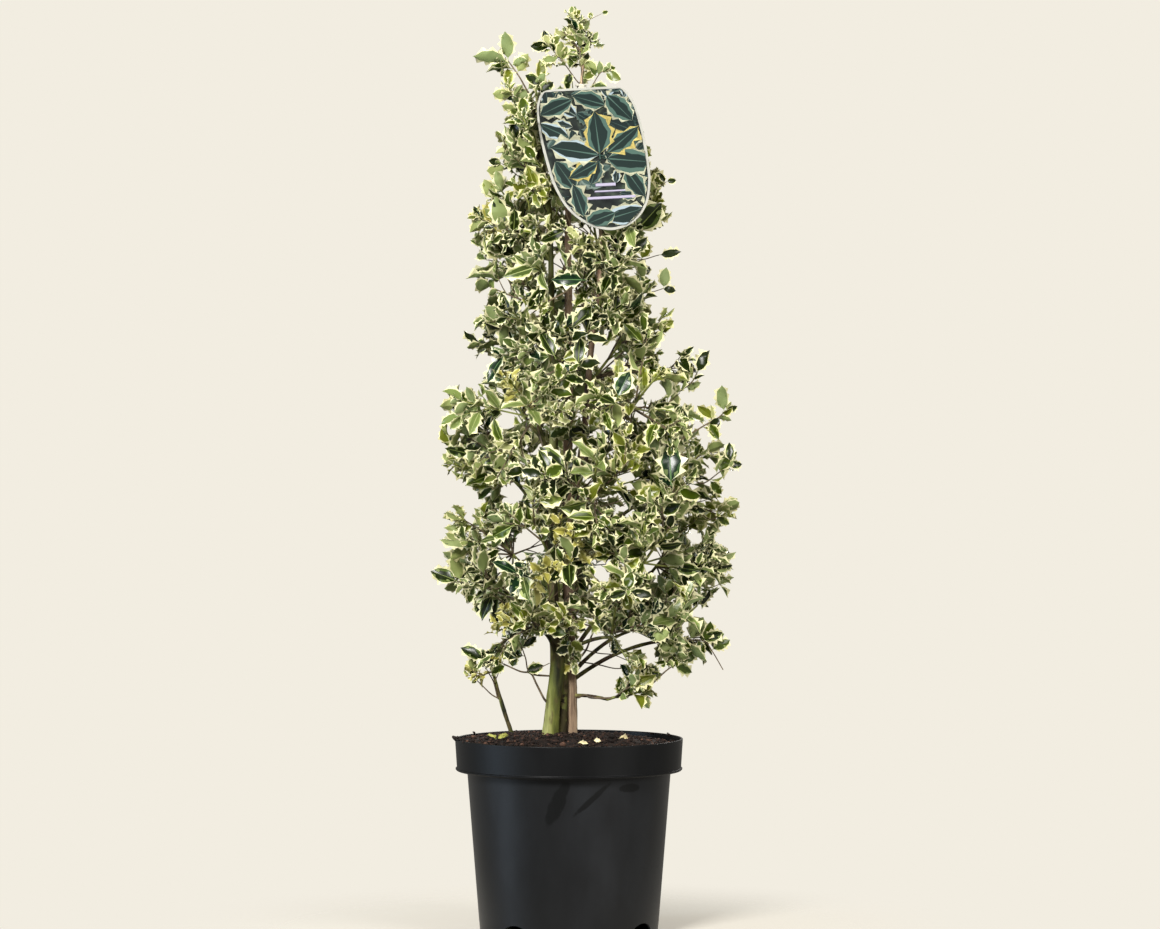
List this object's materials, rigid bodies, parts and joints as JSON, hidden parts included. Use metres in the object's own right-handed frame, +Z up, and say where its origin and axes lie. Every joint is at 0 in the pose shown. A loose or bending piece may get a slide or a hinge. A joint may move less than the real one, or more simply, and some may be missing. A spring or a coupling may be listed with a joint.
{
  "type": "potted variegated holly tree",
  "caption": "Young variegated holly, a narrow open cone of spiny leaves on upright stems, in a round black nursery pot with a blank hanging label.",
  "frame": {"origin": "centre of the pot's underside, on its axis", "axes": "+Z up the stems; the side the picture shows faces -Y, so +X is to the right as the picture sees it"},
  "size_m": [0.4183, 0.414, 1.2176],
  "materials": {
    "pot": "satin black",
    "compost": "damp crumbs",
    "bark": "brown bark",
    "green_bark": "smooth green bark",
    "foliage": "cream-edged green leaves",
    "label": "smooth card"
  },
  "bodies": {
    "root": {"basal_shoot": "green_bark", "bough_1_1": "green_bark", "bough_1_2": "green_bark", "bough_1_3": "green_bark", "bough_1_4": "green_bark", "bough_1_5": "green_bark", "bough_2_1": "green_bark", "bough_2_2": "green_bark", "bough_2_3": "green_bark", "bough_2_4": "green_bark", "bough_2_5": "green_bark", "bough_3_1": "green_bark", "bough_3_2": "green_bark", "bough_3_3": "green_bark", "bough_3_4": "green_bark", "bough_4_1": "green_bark", "bough_4_2": "green_bark", "bough_4_3": "green_bark", "bough_4_4": "green_bark", "bough_low_right": "green_bark", "compost": "compost", "foliage_1_1": "foliage", "foliage_1_2": "foliage", "foliage_1_3": "foliage", "foliage_1_4": "foliage", "foliage_1_5": "foliage", "foliage_2_1": "foliage", "foliage_2_2": "foliage", "foliage_2_3": "foliage", "foliage_2_4": "foliage", "foliage_2_5": "foliage", "foliage_3_1": "foliage", "foliage_3_2": "foliage", "foliage_3_3": "foliage", "foliage_3_4": "foliage", "foliage_4_1": "foliage", "foliage_4_2": "foliage", "foliage_4_3": "foliage", "foliage_4_4": "foliage", "foliage_5_1": "foliage", "foliage_5_2": "foliage", "foliage_5_3": "foliage", "foliage_6_1": "foliage", "foliage_6_2": "foliage", "foliage_6_3": "foliage", "foliage_7_1": "foliage", "foliage_7_2": "foliage", "foliage_7_3": "foliage", "foliage_8_1": "foliage", "foliage_8_2": "foliage", "foliage_9_1": "foliage", "foliage_basal": "foliage", "foliage_left_spire": "foliage", "foliage_low_right": "foliage", "foliage_top": "foliage", "label": "label", "pot": "pot", "right_leader": "bark", "second_stem": "bark", "trunk": "green_bark"}
  },
  "joints": []
}
